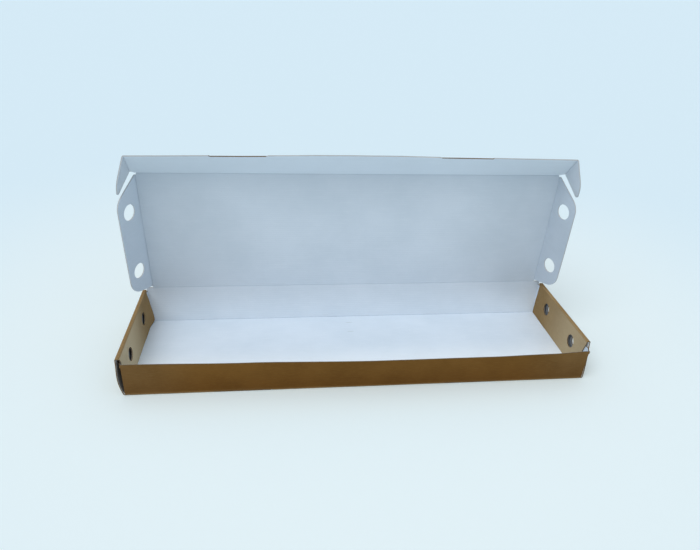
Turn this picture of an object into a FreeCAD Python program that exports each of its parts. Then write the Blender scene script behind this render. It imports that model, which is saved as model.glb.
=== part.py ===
import FreeCAD, Part
import math
import os

import Sketcher

# A one-piece tray box die-cut and folded from thin corrugated board, white inside and brown outside.
# X runs to the right along the box, Y to the back, Z up. The floor's underside is Z = 0 and the
# middle of the floor is the origin. The lid stands open at its rest pose.
#
# Every panel is drawn flat at the middle of the board, as on the die-cut blank, padded by half the
# board to each side, and stood up at its fold. Each fold carries a round bead of half the board,
# which is the outside of the crease. Folds that the end rolls lock are solid. Folds that work as
# a hinge are split: the bead belongs to the carrying panel, and the moving panel starts beyond it.

os.makedirs("parts", exist_ok=True)

doc = FreeCAD.newDocument("tray_box")
sheet = doc.addObject("Spreadsheet::Sheet", "sizes")
SIZES = (
    ("board", 1.5),
    ("layer_gap", 0.15),
    ("crease_clear", 0.06),
    # tray
    ("tray_width", 600.0),
    ("tray_depth", 182.0),
    ("front_height", 46.5),
    ("front_lean", 4.4),
    ("front_bow_lean", 12.5),
    ("front_fold_swell", 0.03),
    ("back_height", 56.0),
    ("back_lean", 2.9),
    ("end_height", 54.0),
    ("end_lean", 4.1),
    ("end_edge_back", 2.0),
    ("end_edge_front", 1.0),
    ("roll_width", 5.4),
    ("roll_setback_left", 1.5),
    ("roll_setback_right", 9.0),
    # inner end panels and their lock tabs
    ("inner_front_setback", 4.5),
    ("inner_front_taper", 16.0),
    ("inner_back_setback", 3.0),
    ("inner_back_taper", 3.0),
    ("tab_width", 28.0),
    ("tab_spacing", 104.0),
    ("tab_side_clear", 0.4),
    # vent holes, the same punch in the end walls and in the end flaps
    ("vent_diameter", 22.5),
    ("vent_spacing", 90.0),
    ("vent_shift", -2.0),
    ("vent_height", 32.0),
    # dust ears folded into the double end walls
    ("ear_depth", 29.0),
    ("ear_run_in", 8.0),
    ("ear_front_height", 42.0),
    ("ear_back_height", 49.0),
    ("ear_drop", 6.0),
    # slits on the bottom front fold
    ("slit_left_start", -191.0),
    ("slit_left_end", -120.5),
    ("slit_right_start", 107.5),
    ("slit_right_end", 177.5),
    ("slit_height", 1.3),
    # lid
    ("lid_open", 83.5),
    ("lid_inset", 9.0),
    ("lid_depth", 180.0),
    ("lid_edge_inset", 3.0),
    # front flap
    ("flap_angle", 39.5),
    ("flap_reach", 49.0),
    ("flap_base_overhang", 5.5),
    ("flap_tip_overhang", 2.7),
    ("flap_crown", 1.6),
    ("flap_notch", 1.4),
    ("flap_shoulder", 3.6),
    # ears of the front flap
    ("tuck_ear_angle", 70.0),
    ("tuck_ear_reach", 38.5),
    ("tuck_ear_crown_out", 30.0),
    ("tuck_ear_crown_up", 23.5),
    ("tuck_ear_crown_radius", 40.0),
    ("tuck_ear_tip_radius", 4.0),
    # end flaps of the lid
    ("end_flap_left_angle", 65.5),
    ("end_flap_right_angle", 71.0),
    ("end_flap_reach", 44.5),
    ("end_flap_rear_start", 3.2),
    ("end_flap_rear_slope", 15.9),
    ("end_flap_rear_radius", 24.0),
    ("end_flap_front_slope", 34.8),
    ("end_flap_front_radius", 20.0),
    ("flap_vent_first", 43.0),
    ("flap_vent_out", 23.4),
    # largest fold angle that each working crease goes to, from flat
    ("lid_crease_turn", 94.0),
    ("flap_crease_turn", 104.0),
    ("tuck_ear_crease_turn", 94.0),
    ("end_flap_crease_turn", 118.0),
)
for row, (alias, value) in enumerate(SIZES, start=1):
    sheet.set("A%d" % row, alias)
    sheet.set("B%d" % row, repr(value))
    sheet.setAlias("B%d" % row, alias)
doc.recompute()

START_RADIUS = 50.0
NEAR = 1e-4


def cell(name):
    return "sizes." + name


def place(x, y, z, *turns):
    text = "placement(vector(%s; %s; %s)" % (x, y, z)
    turn = " * ".join("rotation(vector(%s); %s)" % pair for pair in turns)
    return text + "; " + (turn or "rotation(vector(0; 0; 1); 0)") + ")"


X = "1; 0; 0"
Y = "0; 1; 0"
Z = "0; 0; 1"
BOARD = cell("board")
HALF = "(%s / 2)" % BOARD
FOLD_X = "(sizes.tray_width / 2 + sizes.layer_gap + %s)" % HALF
FOLD_Y = "(sizes.tray_depth / 2 - %s)" % HALF
WALL_END = "(sizes.tray_width / 2 - %s)" % HALF
FRONT_RUN = "((sizes.front_height - %s) / cos(sizes.front_lean))" % HALF
BACK_RUN = "((sizes.back_height - %s) / cos(sizes.back_lean))" % HALF
ROLL_Z = "(sizes.end_height - %s)" % HALF
ROLL_OUT_X = "(%s + (%s - %s) * tan(sizes.end_lean))" % (FOLD_X, ROLL_Z, HALF)
ROLL_IN_X = "(%s - sizes.roll_width + sizes.board)" % ROLL_OUT_X
INNER_X = "(sizes.tray_width / 2 - 1.5 * sizes.board - sizes.layer_gap)"
INNER_Z = "(sizes.board + sizes.layer_gap)"
INNER_SLOPE = "((%s - %s) / (%s - %s))" % (ROLL_IN_X, INNER_X, ROLL_Z, INNER_Z)
INNER_LEAN = "atan(%s)" % INNER_SLOPE
INNER_RUN = "((%s - %s) / cos(%s))" % (ROLL_Z, INNER_Z, INNER_LEAN)
END_BACK = "(sizes.tray_depth / 2 - sizes.end_edge_back)"
LID_Y = "(%s + (sizes.back_height - %s) * tan(sizes.back_lean))" % (FOLD_Y, HALF)
LID_HALF = "(sizes.tray_width / 2 - sizes.lid_inset)"
LID_WIDTH = "(2 * %s)" % LID_HALF


def crease_start(turn):
    """Where a moving panel starts, from its fold axis, to clear the fold at its largest turn."""
    return "(%s * tan(sizes.%s / 2) + sizes.crease_clear)" % (HALF, turn)


def mirrored(side, text):
    return text if side > 0 else "-(%s)" % text


def draw(sketch, outlines, holes=()):
    """Closed outlines from corner points, and round holes, each held by bound dimensions."""
    constraints = []
    bound = []
    first = 0
    for outline in outlines:
        count = len(outline)
        turn = 2 * math.pi / count
        start = [(START_RADIUS * math.cos(i * turn), START_RADIUS * math.sin(i * turn)) for i in range(count)]
        for i in range(count):
            a = FreeCAD.Vector(start[i][0], start[i][1], 0)
            b = FreeCAD.Vector(start[(i + 1) % count][0], start[(i + 1) % count][1], 0)
            sketch.addGeometry(Part.LineSegment(a, b), False)
        for i in range(count):
            constraints.append(Sketcher.Constraint("Coincident", first + i, 2, first + (i + 1) % count, 1))
        for i, (across, along) in enumerate(outline):
            bound.append((len(constraints), across))
            constraints.append(Sketcher.Constraint("DistanceX", -1, 1, first + i, 1, start[i][0]))
            bound.append((len(constraints), along))
            constraints.append(Sketcher.Constraint("DistanceY", -1, 1, first + i, 1, start[i][1]))
        first += count
    for across, along, size in holes:
        circle = Part.Circle(FreeCAD.Vector(START_RADIUS, START_RADIUS, 0), FreeCAD.Vector(0, 0, 1), 1.0)
        sketch.addGeometry(circle, False)
        bound.append((len(constraints), across))
        constraints.append(Sketcher.Constraint("DistanceX", -1, 1, first, 3, START_RADIUS))
        bound.append((len(constraints), along))
        constraints.append(Sketcher.Constraint("DistanceY", -1, 1, first, 3, START_RADIUS))
        bound.append((len(constraints), size))
        constraints.append(Sketcher.Constraint("Diameter", first, 2.0))
        first += 1
    sketch.addConstraint(constraints)
    for index, text in bound:
        sketch.setExpression("Constraints[%d]" % index, str(text))


def body(name, where=None):
    made = doc.addObject("PartDesign::Body", name)
    made.Label = name
    if where:
        made.setExpression("Placement", where)
    return made


def panel(owner, name, outlines, holes=(), where=None):
    """One flat panel of board, half its thickness to each side of the sketch."""
    sketch = owner.newObject("Sketcher::SketchObject", name + "_outline")
    if where:
        sketch.setExpression("Placement", where)
    else:
        plane = [f for f in owner.Origin.OriginFeatures if f.Role == "XY_Plane"][0]
        sketch.AttachmentSupport = (plane, "")
        sketch.MapMode = "FlatFace"
    draw(sketch, outlines, holes)
    doc.recompute()
    pad = owner.newObject("PartDesign::Pad", name)
    pad.Profile = sketch
    pad.SideType = "Symmetric"
    pad.setExpression("Length", BOARD)
    doc.recompute()
    return pad


def bead(owner, name, where, run, radius=HALF):
    """The round outside of a crease, from where's origin along its own Z."""
    rod = owner.newObject("PartDesign::AdditiveCylinder", name)
    rod.setExpression("Radius", radius)
    rod.setExpression("Height", run)
    rod.setExpression("Placement", where)
    doc.recompute()
    return rod


def round_corners(owner, pad, name, corners):
    """Rounds corners of a panel, each named by its number in the outline."""
    sketch = pad.Profile[0]
    feature = pad
    for number, radius in corners:
        point = sketch.Geometry[number].StartPoint
        names = []
        for index, edge in enumerate(feature.Shape.Edges, start=1):
            ends = [v.Point for v in edge.Vertexes]
            if len(ends) == 2 and all(math.hypot(p.x - point.x, p.y - point.y) < NEAR for p in ends):
                names.append("Edge%d" % index)
        fillet = owner.newObject("PartDesign::Fillet", "%s_%d" % (name, number))
        fillet.Base = (feature, names)
        fillet.setExpression("Radius", cell(radius))
        doc.recompute()
        feature = fillet
    return feature


# The tray: floor, walls, rolled double ends and tucked ears, folded from one sheet.
tray = body("tray")

slot_x = "(%s - (%s - %s) * %s)" % (INNER_X, INNER_Z, HALF, INNER_SLOPE)
slot_wide = "(sizes.board / 2 + sizes.layer_gap)"
slot_long = "(sizes.tab_width / 2 + sizes.tab_side_clear)"
floor_slots = []
for side in (-1, 1):
    for end in (-1, 1):
        middle_x = mirrored(side, slot_x)
        middle_y = mirrored(end, "(sizes.tab_spacing / 2)")
        floor_slots.append(
            [
                ("%s - %s" % (middle_x, slot_wide), "%s - %s" % (middle_y, slot_long)),
                ("%s + %s" % (middle_x, slot_wide), "%s - %s" % (middle_y, slot_long)),
                ("%s + %s" % (middle_x, slot_wide), "%s + %s" % (middle_y, slot_long)),
                ("%s - %s" % (middle_x, slot_wide), "%s + %s" % (middle_y, slot_long)),
            ]
        )
floor_edge = [
    ("-" + FOLD_X, "-" + FOLD_Y),
    (FOLD_X, "-" + FOLD_Y),
    (FOLD_X, FOLD_Y),
    ("-" + FOLD_X, FOLD_Y),
]
panel(tray, "floor", [floor_edge] + floor_slots, where=place(0, 0, HALF))

# The front wall bows out between its ends, so it is lofted through three upright sections.
sections = []
for at, lean in (("-" + WALL_END, "front_lean"), ("0", "front_bow_lean"), (WALL_END, "front_lean")):
    section = tray.newObject("Sketcher::SketchObject", "front_wall_section_%d" % len(sections))
    section.setExpression("Placement", place(at, "-" + FOLD_Y, HALF, ("1; 1; 1", 120)))
    across = "(%s * cos(sizes.%s))" % (HALF, lean)
    rise = "(%s * sin(sizes.%s))" % (HALF, lean)
    top_out = "(-%s * sin(sizes.%s))" % (FRONT_RUN, lean)
    top_up = "(%s * cos(sizes.%s))" % (FRONT_RUN, lean)
    corners = [(across, rise), ("-" + across, "-" + rise)]
    corners.append(("%s - %s" % (top_out, across), "%s - %s" % (top_up, rise)))
    corners.append(("%s + %s" % (top_out, across), "%s + %s" % (top_up, rise)))
    draw(section, [corners])
    sections.append(section)
doc.recompute()
front_wall = tray.newObject("PartDesign::AdditiveLoft", "front_wall")
front_wall.Profile = sections[0]
front_wall.Sections = sections[1:]
doc.recompute()

back_frame = place(0, FOLD_Y, HALF, (X, "90 - sizes.back_lean"))
outline = [("-" + WALL_END, 0), (WALL_END, 0), (WALL_END, BACK_RUN), ("-" + WALL_END, BACK_RUN)]
panel(tray, "back_wall", [outline], where=back_frame)

along_x = (Y, 90)
along_y = (X, -90)
swollen = "(%s + sizes.front_fold_swell)" % HALF
bead(tray, "front_fold", place("-sizes.tray_width / 2", "-" + FOLD_Y, swollen, along_x), "sizes.tray_width", swollen)
bead(tray, "back_fold", place("-sizes.tray_width / 2", FOLD_Y, HALF, along_x), "sizes.tray_width")
bead(tray, "lid_fold", place("-" + LID_HALF, LID_Y, "sizes.back_height", along_x), LID_WIDTH)

for side, word in ((-1, "left"), (1, "right")):
    setback = "(sizes.tray_depth / 2 - sizes.roll_setback_%s)" % word
    edge_front = "(sizes.tray_depth / 2 - sizes.end_edge_front)"
    outer_run = "((%s - %s) / cos(sizes.end_lean))" % (ROLL_Z, HALF)
    vent_up = "((sizes.vent_height - %s) / cos(sizes.end_lean))" % HALF
    vent_down = "((%s - sizes.vent_height) / cos(%s))" % (ROLL_Z, INNER_LEAN)
    vents = ["sizes.vent_shift + sizes.vent_spacing / 2", "sizes.vent_shift - sizes.vent_spacing / 2"]

    outline = [(0, "-" + edge_front), (outer_run, "-" + setback), (outer_run, END_BACK), (0, END_BACK)]
    holes = [(vent_up, at, cell("vent_diameter")) for at in vents]
    turn = "-90 + sizes.end_lean" if side > 0 else "-90 - sizes.end_lean"
    frame = place(mirrored(side, FOLD_X), 0, HALF, (Y, turn))
    panel(tray, "outer_end_" + word, [outline], holes, frame)

    near, far = mirrored(side, ROLL_IN_X), mirrored(side, ROLL_OUT_X)
    outline = [(near, "-" + setback), (far, "-" + setback), (far, END_BACK), (near, END_BACK)]
    panel(tray, "roll_" + word, [outline], where=place(0, 0, ROLL_Z))

    top_front = "-(sizes.tray_depth / 2 - max(sizes.inner_front_setback; sizes.roll_setback_%s))" % word
    top_back = "(sizes.tray_depth / 2 - sizes.inner_back_setback)"
    low_front = "(%s + %s * tan(sizes.inner_front_taper))" % (top_front, INNER_RUN)
    low_back = "(%s - %s * tan(sizes.inner_back_taper))" % (top_back, INNER_RUN)
    tab_end = "(%s + sizes.board)" % INNER_RUN
    outline = [(0, top_front), (INNER_RUN, low_front)]
    for end in (-1, 1):
        centre = mirrored(end, "(sizes.tab_spacing / 2)")
        outline.append((INNER_RUN, "%s - sizes.tab_width / 2" % centre))
        outline.append((tab_end, "%s - sizes.tab_width / 2 + sizes.tab_side_clear" % centre))
        outline.append((tab_end, "%s + sizes.tab_width / 2 - sizes.tab_side_clear" % centre))
        outline.append((INNER_RUN, "%s + sizes.tab_width / 2" % centre))
    outline.append((INNER_RUN, low_back))
    outline.append((0, top_back))
    holes = [(vent_down, at, cell("vent_diameter")) for at in vents]
    turn = "90 deg + " + INNER_LEAN if side > 0 else "90 deg - " + INNER_LEAN
    bead(tray, "roll_edge_" + word, place(far, "-" + setback, ROLL_Z, along_y), "%s + %s" % (setback, END_BACK))
    bead(tray, "roll_lip_" + word, place(near, "-" + setback, ROLL_Z, along_y), "%s + %s" % (setback, END_BACK))
    panel(tray, "inner_end_" + word, [outline], holes, place(near, 0, ROLL_Z, (Y, turn)))
    bead(
        tray,
        "end_fold_" + word,
        place(mirrored(side, FOLD_X), "-" + edge_front, HALF, along_y),
        "%s + %s" % (edge_front, END_BACK),
    )

    for end, where, lean in ((-1, "front", "front_lean"), (1, "back", "back_lean")):
        run = FRONT_RUN if end < 0 else BACK_RUN
        tilt = "sizes.%s" % lean if end < 0 else "-sizes.%s" % lean
        corner = place(mirrored(side, WALL_END), mirrored(end, FOLD_Y), HALF, (X, tilt))
        bead(tray, "%s_corner_%s" % (where, word), corner, run)
        sections = []
        low = "(sizes.board / 2 + 3 * sizes.layer_gap)"
        high = "sizes.ear_%s_height" % where
        for step, (at, slope, drop) in enumerate(
            (
                ("0", "0", "0"),
                (cell("ear_run_in"), INNER_SLOPE, "0"),
                (cell("ear_depth"), INNER_SLOPE, cell("ear_drop")),
            )
        ):
            inner = "(sizes.tray_width / 2 - sizes.board)"
            outer = "(sizes.tray_width / 2)"
            top = "(%s - %s)" % (high, drop)
            corners = [(inner, low), (outer, low), (outer, top), (inner, top)]
            outline = [(mirrored(side, "%s + %s * %s" % (a, slope, b)), b) for a, b in corners]
            section = tray.newObject("Sketcher::SketchObject", "%s_dust_ear_%s_section_%d" % (where, word, step))
            back_y = "-%s + %s" % (FOLD_Y, at) if end < 0 else "%s - %s" % (FOLD_Y, at)
            stand = "90 + sizes.front_lean" if end < 0 else "90 - sizes.back_lean"
            section.setExpression("Placement", place(0, back_y, HALF, (X, stand)))
            draw(section, [outline])
            sections.append(section)
        doc.recompute()
        ear = tray.newObject("PartDesign::AdditiveLoft", "%s_dust_ear_%s" % (where, word))
        ear.Profile = sections[0]
        ear.Sections = sections[1:]
        ear.Ruled = True
        doc.recompute()

for word in ("left", "right"):
    slit = tray.newObject("PartDesign::SubtractiveBox", "front_slit_" + word)
    slit.setExpression("Length", "sizes.slit_%s_end - sizes.slit_%s_start" % (word, word))
    slit.setExpression("Width", "2 * sizes.board")
    slit.setExpression("Height", "sizes.slit_height + sizes.board")
    corner_y = "-sizes.tray_depth / 2 - sizes.board / 2"
    slit.setExpression("Placement", place("sizes.slit_%s_start" % word, corner_y, "-sizes.board"))
    doc.recompute()

# The lid, hinged on the back wall's top fold. Its own Y runs from that fold to the front fold, and
# its own Z points to the inside of the box.
LID_FRAME = place(0, LID_Y, "sizes.back_height", (X, "180 - sizes.lid_open"))
lid = body("lid", LID_FRAME)
start = crease_start("lid_crease_turn")
outline = [
    ("-" + LID_HALF, start),
    (LID_HALF, start),
    (LID_HALF, cell("lid_depth")),
    ("-" + LID_HALF, cell("lid_depth")),
]
panel(lid, "lid_panel", [outline])
bead(lid, "front_crease", place("-" + LID_HALF, "sizes.lid_depth", 0, along_x), LID_WIDTH)
for side, word in ((-1, "left"), (1, "right")):
    rod = place(mirrored(side, LID_HALF), "sizes.lid_edge_inset", 0, along_y)
    bead(lid, "end_crease_" + word, rod, "sizes.lid_depth - 2 * sizes.lid_edge_inset")

# The front flap, which tucks behind the front wall. Its free edge stands a little higher between
# two shallow notches.
FLAP_FRAME = LID_FRAME + " * " + place(0, "sizes.lid_depth", 0, (X, "sizes.flap_angle"))
front_flap = body("front_flap", FLAP_FRAME)
start = crease_start("flap_crease_turn")
base = "(%s + sizes.flap_base_overhang)" % LID_HALF
tip = "(%s + sizes.flap_tip_overhang)" % LID_HALF
reach = cell("flap_reach")
notched = "(sizes.flap_reach - sizes.flap_notch)"
crowned = "(sizes.flap_reach + sizes.flap_crown)"
ear_relief = crease_start("tuck_ear_crease_turn")
outline = [
    ("-" + LID_HALF, start),
    (LID_HALF, start),
    ("%s + sizes.board" % LID_HALF, cell("flap_shoulder")),
    (base, cell("flap_shoulder")),
    (tip, reach),
    (cell("slit_right_end"), reach),
    (cell("slit_right_end"), notched),
    (cell("slit_right_start"), notched),
    ("sizes.slit_right_start / 2", crowned),
    ("sizes.slit_left_end / 2", crowned),
    (cell("slit_left_end"), notched),
    (cell("slit_left_start"), notched),
    (cell("slit_left_start"), reach),
    ("-" + tip, reach),
    ("-" + base, cell("flap_shoulder")),
    ("-%s - sizes.board" % LID_HALF, cell("flap_shoulder")),
]
panel(front_flap, "front_flap_panel", [outline])
EAR_RUN = "sqrt((%s - %s) ^ 2 + (%s - sizes.flap_shoulder) ^ 2)" % (base, tip, reach)
EAR_SLANT = "atan((%s - %s) / (%s - sizes.flap_shoulder))" % (base, tip, reach)
for side, word in ((-1, "left"), (1, "right")):
    slant = mirrored(side, EAR_SLANT)
    rod = place(mirrored(side, base), "sizes.flap_shoulder", 0, (Z, slant), along_y)
    bead(front_flap, "ear_crease_" + word, rod, EAR_RUN)

# The front flap's two ears, quarter-round, folded in at its ends.
for side, word in ((-1, "left"), (1, "right")):
    slant = mirrored(side, EAR_SLANT)
    turn = mirrored(-side, cell("tuck_ear_angle"))
    frame = FLAP_FRAME + " * " + place(mirrored(side, base), "sizes.flap_shoulder", 0, (Z, slant), (Y, turn))
    ear = body("front_ear_" + word, frame)
    outline = [
        (ear_relief, HALF),
        (cell("tuck_ear_reach"), HALF),
        (cell("tuck_ear_crown_out"), cell("tuck_ear_crown_up")),
        (ear_relief, EAR_RUN),
    ]
    outline = [(mirrored(side, a), b) for a, b in outline]
    pad = panel(ear, "ear_panel_" + word, [outline])
    round_corners(ear, pad, "ear_round_" + word, [(1, "tuck_ear_tip_radius"), (2, "tuck_ear_crown_radius")])

# The lid's end flaps, each with two vent holes, a slanted front corner and a round rear corner.
start = crease_start("end_flap_crease_turn")
rear_corner = "(sizes.end_flap_rear_start + sizes.end_flap_reach * tan(sizes.end_flap_rear_slope))"
front_end = "(sizes.lid_depth - sizes.lid_edge_inset / 3)"
front_corner = "(%s - sizes.end_flap_reach * tan(sizes.end_flap_front_slope))" % front_end
for side, word in ((-1, "left"), (1, "right")):
    turn = mirrored(-side, "sizes.end_flap_%s_angle" % word)
    flap = body("end_flap_" + word, LID_FRAME + " * " + place(mirrored(side, LID_HALF), 0, 0, (Y, turn)))
    outline = [
        (start, "sizes.end_flap_rear_start + %s * tan(sizes.end_flap_rear_slope)" % start),
        (cell("end_flap_reach"), rear_corner),
        (cell("end_flap_reach"), front_corner),
        (start, "%s - %s * tan(sizes.end_flap_front_slope)" % (front_end, start)),
    ]
    outline = [(mirrored(side, a), b) for a, b in outline]
    holes = []
    for number in range(2):
        along = "sizes.flap_vent_first + %d * sizes.vent_spacing" % number
        holes.append((mirrored(side, cell("flap_vent_out")), along, cell("vent_diameter")))
    pad = panel(flap, "end_flap_panel_" + word, [outline], holes)
    round_corners(
        flap,
        pad,
        "end_flap_round_" + word,
        [(1, "end_flap_rear_radius"), (2, "end_flap_front_radius")],
    )

doc.recompute()

NODES = (
    "tray",
    "lid",
    "front_flap",
    "front_ear_left",
    "front_ear_right",
    "end_flap_left",
    "end_flap_right",
)
for thing in doc.Objects:
    if "Invalid" in thing.State or "Error" in thing.State:
        raise RuntimeError("%s did not build: %s" % (thing.Name, thing.State))
for name in NODES:
    shape = doc.getObject(name).Shape
    if shape.isNull() or not shape.isValid() or len(shape.Solids) != 1:
        raise RuntimeError("%s is not one valid solid" % name)
    shape.exportStep("parts/%s.step" % name)
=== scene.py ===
import math

import bpy
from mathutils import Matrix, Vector, geometry, noise


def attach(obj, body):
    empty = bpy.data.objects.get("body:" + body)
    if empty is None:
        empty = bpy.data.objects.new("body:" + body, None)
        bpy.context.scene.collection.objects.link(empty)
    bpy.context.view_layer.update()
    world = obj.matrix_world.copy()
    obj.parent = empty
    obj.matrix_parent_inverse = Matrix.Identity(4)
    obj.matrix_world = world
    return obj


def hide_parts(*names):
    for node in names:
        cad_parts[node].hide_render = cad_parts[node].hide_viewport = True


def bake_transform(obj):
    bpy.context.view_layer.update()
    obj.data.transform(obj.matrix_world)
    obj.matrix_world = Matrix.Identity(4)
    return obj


# A tray box folded from one sheet of thin corrugated board, white inside and brown kraft outside.
# Every panel is cut from the same flat blank, meshed there, and folded to its place. Lengths are in
# millimetres up to the meshes, which are in metres. On the blank, U runs along the box and V from the
# front wall's top over the floor, the back wall and the lid to the front flap's free edge.

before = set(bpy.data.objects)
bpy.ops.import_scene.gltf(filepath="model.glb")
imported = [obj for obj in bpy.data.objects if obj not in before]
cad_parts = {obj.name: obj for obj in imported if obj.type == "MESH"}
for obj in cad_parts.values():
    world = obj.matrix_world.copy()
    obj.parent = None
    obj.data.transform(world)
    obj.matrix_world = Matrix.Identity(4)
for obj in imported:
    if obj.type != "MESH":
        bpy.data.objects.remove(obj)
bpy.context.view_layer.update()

SIDES = {-1: "left", 1: "right"}
HALF = 0.75  # half the board's thickness
FLUTE_PITCH = 3.2
STEP = 6.0  # from one mesh line to the next
JOIN = 2.2  # from a working crease to where its bending strip ends
CREASE_SPREAD = 2.0  # width of the finer mesh beside a working crease

# Tray. Places are those of the middle of the board.
TRAY_EDGE_Y = 91.0
FOLD_Y = TRAY_EDGE_Y - HALF
CORNER_X = 299.25  # where the dust ears fold off the walls
FRONT_HEIGHT = 46.5
FRONT_RUN = (FRONT_HEIGHT - HALF) / math.cos(math.radians(4.4))
BACK_HEIGHT = 56.0
BACK_LEAN = math.radians(2.9)
BACK_RUN = (BACK_HEIGHT - HALF) / math.cos(BACK_LEAN)
FOLD_X = 300.9
END_LEAN = math.radians(4.1)
ROLL_Z = 53.25
ROLL_ACROSS = 3.9
ROLL_OUT_X = FOLD_X + (ROLL_Z - HALF) * math.tan(END_LEAN)
ROLL_IN_X = ROLL_OUT_X - ROLL_ACROSS
ROLL_SETBACK = {-1: 0.6, 1: 9.0}  # of the roll's front end
INNER_SETBACK = 4.5
INNER_FRONT_TAPER = math.radians(16.0)
INNER_X = 297.6
INNER_Z = 1.65
END_BACK = 89.0  # rear edge of the outer panel
INNER_BACK = 90.6
INNER_LOW_BACK = 88.3
WALL_VENT_RADIUS = 9.2
WALL_VENTS_V = (47.5, -42.5)
OUTER_VENT_UP = 31.33
INNER_VENT_DOWN = 23.6
OUTER_VENT_SHIFT = 4.5
TABS_V = (-52.0, 52.0)
TAB_HALF = 14.0
TAB_REACH = 1.6
SLOT_X = 297.545
SLOT_HALF = 0.9
SLOT_HALF_LENGTH = 14.4
SLITS_U = ((-191.0, -120.5), (107.5, 177.5))
SLIT_LOW = -91.35
SLIT_HIGH = -90.0
DUST_EAR_REACH = 29.0
DUST_EAR_FLAT = 8.0
DUST_EARS = ((-1, 45.0, 3.0), (1, 49.0, 6.0))  # end, height and how far the top edge drops
DUST_EAR_SLOPE = 0.0613
DUST_EAR_BEND = 8.0  # over which its slope sets in
FLOOR_EDGE = 299.2  # where the main sheet's floor gives way to the end panel
WALL_JOIN = 298.3  # where its walls give way to the dust ears
WALL_EDGE = 299.9  # free ends of its walls, above the ears

# Lid and its flaps
OPEN = math.radians(83.5)
LID_DEPTH = 180.0
LID_HALF = 291.0
LID_EDGE_INSET = 3.0
LID_JOIN_HALF = 290.0
FLAP_JOIN_HALF = 288.5
END_TURN = {-1: math.radians(65.5), 1: math.radians(71.0)}
END_REACH = 44.45
END_REAR_START = 3.2
END_REAR_SLOPE = math.tan(math.radians(15.9))
END_REAR_RADIUS = 24.0
END_FRONT_SLOPE = {-1: math.tan(math.radians(30.5)), 1: math.tan(math.radians(33.0))}
END_FRONT_RADIUS = 20.0
END_CURL = 1.2
END_CURL_REACH = 44.5
FLAP_VENT_RADIUS = 11.0
FLAP_VENT_OUT = 23.4
FLAP_VENTS = (43.0, 133.0)
FLAP_ANGLE = 39.5
FLAP_DROOP = 2.8
FLAP_REACH = 49.0
FLAP_CROWN = 1.6
FLAP_NOTCH = 1.4
EAR_BASE = 296.5
EAR_TIP = 293.7
SHOULDER = 3.6
EAR_SLANT = math.atan((EAR_BASE - EAR_TIP) / (FLAP_REACH - SHOULDER))
EAR_RUN = math.hypot(EAR_BASE - EAR_TIP, FLAP_REACH - SHOULDER)
EAR_TURN = {-1: math.radians(70.0), 1: math.radians(73.5)}
EAR_REACH = {-1: 38.5, 1: 40.6}

# Where the folds lie on the blank, and where the lid's lie in space
FRONT_TOP = -FOLD_Y - FRONT_RUN
LID_V = FOLD_Y + BACK_RUN
FLAP_V = LID_V + LID_DEPTH
OUTER_RUN = math.hypot(ROLL_OUT_X - FOLD_X, ROLL_Z - HALF)
INNER_RUN = math.hypot(ROLL_IN_X - INNER_X, ROLL_Z - INNER_Z)
ROLL_U = FOLD_X + OUTER_RUN
INNER_U = ROLL_U + ROLL_ACROSS
LOW_U = INNER_U + INNER_RUN
ALONG_LID = Vector((0, -math.cos(OPEN), math.sin(OPEN)))
LID_INWARD = Vector((0, -math.sin(OPEN), -math.cos(OPEN)))
LID_FOLD = Vector((0, FOLD_Y + (BACK_HEIGHT - HALF) * math.tan(BACK_LEAN), BACK_HEIGHT))
FLAP_FOLD = LID_FOLD + ALONG_LID * LID_DEPTH


def ease(t):
    t = min(max(t, 0.0), 1.0)
    return t * t * (3 - 2 * t)


def between(x, points):
    """A smooth value at x through (place, value) points."""
    for (x0, y0), (x1, y1) in zip(points, points[1:]):
        if x <= x1:
            return y0 + (y1 - y0) * ease((x - x0) / (x1 - x0))
    return points[-1][1]


def folded(points, radii, s):
    """The point at distance s along a flat line of 2-D points whose inner corners are rounded."""
    stop = 0.0
    for i in range(1, len(points)):
        a = points[i - 1]
        b = points[i]
        length = (b - a).length
        ahead = (b - a) / length
        last = i == len(points) - 1
        if not last:
            after = (points[i + 1] - b).normalized()
            turn = ahead.angle_signed(after)
            reach = radii[i - 1] * math.tan(abs(turn) / 2)
            if abs(s - stop - length) < reach:
                phi = (s - stop - length + reach) / (2 * reach) * abs(turn)
                side = -1 if turn > 0 else 1
                across = Vector((-ahead.y, ahead.x)) * side
                start = b - ahead * reach
                radius = radii[i - 1]
                return start + ahead * (radius * math.sin(phi)) + across * (radius * (1 - math.cos(phi)))
        if s <= stop + length or last:
            return a + ahead * (s - stop)
        stop += length


def front_lean(x):
    """The front wall's lean in degrees: its middle bows out between the locked ends."""
    return between(
        x / 300,
        ((-1.0, 2.6), (-0.5, 7.2), (0.05, 12.3), (0.55, 11.9), (0.82, 9.6), (1.0, 6.0)),
    )


def flap_angle(x):
    """The front flap's fold in degrees: its ends hang a little lower than its middle."""
    return FLAP_ANGLE + FLAP_DROOP * min(abs(x) / 297, 1.0) ** 1.6


def main_sheet(u, v):
    """Front wall, floor, back wall, lid and front flap."""
    lean = math.radians(front_lean(u))
    bend = math.radians(flap_angle(u))
    flap = ALONG_LID * math.cos(bend) + LID_INWARD * math.sin(bend)
    line = [
        Vector((-FOLD_Y - FRONT_RUN * math.sin(lean), HALF + FRONT_RUN * math.cos(lean))),
        Vector((-FOLD_Y, HALF)),
        Vector((FOLD_Y, HALF)),
        Vector((LID_FOLD.y, LID_FOLD.z)),
        Vector((FLAP_FOLD.y, FLAP_FOLD.z)),
        Vector((FLAP_FOLD.y + flap.y * 60, FLAP_FOLD.z + flap.z * 60)),
    ]
    p = folded(line, (1.0, 1.0, 1.2, 1.1), v - FRONT_TOP)
    return Vector((u, p.x, p.y))


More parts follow.
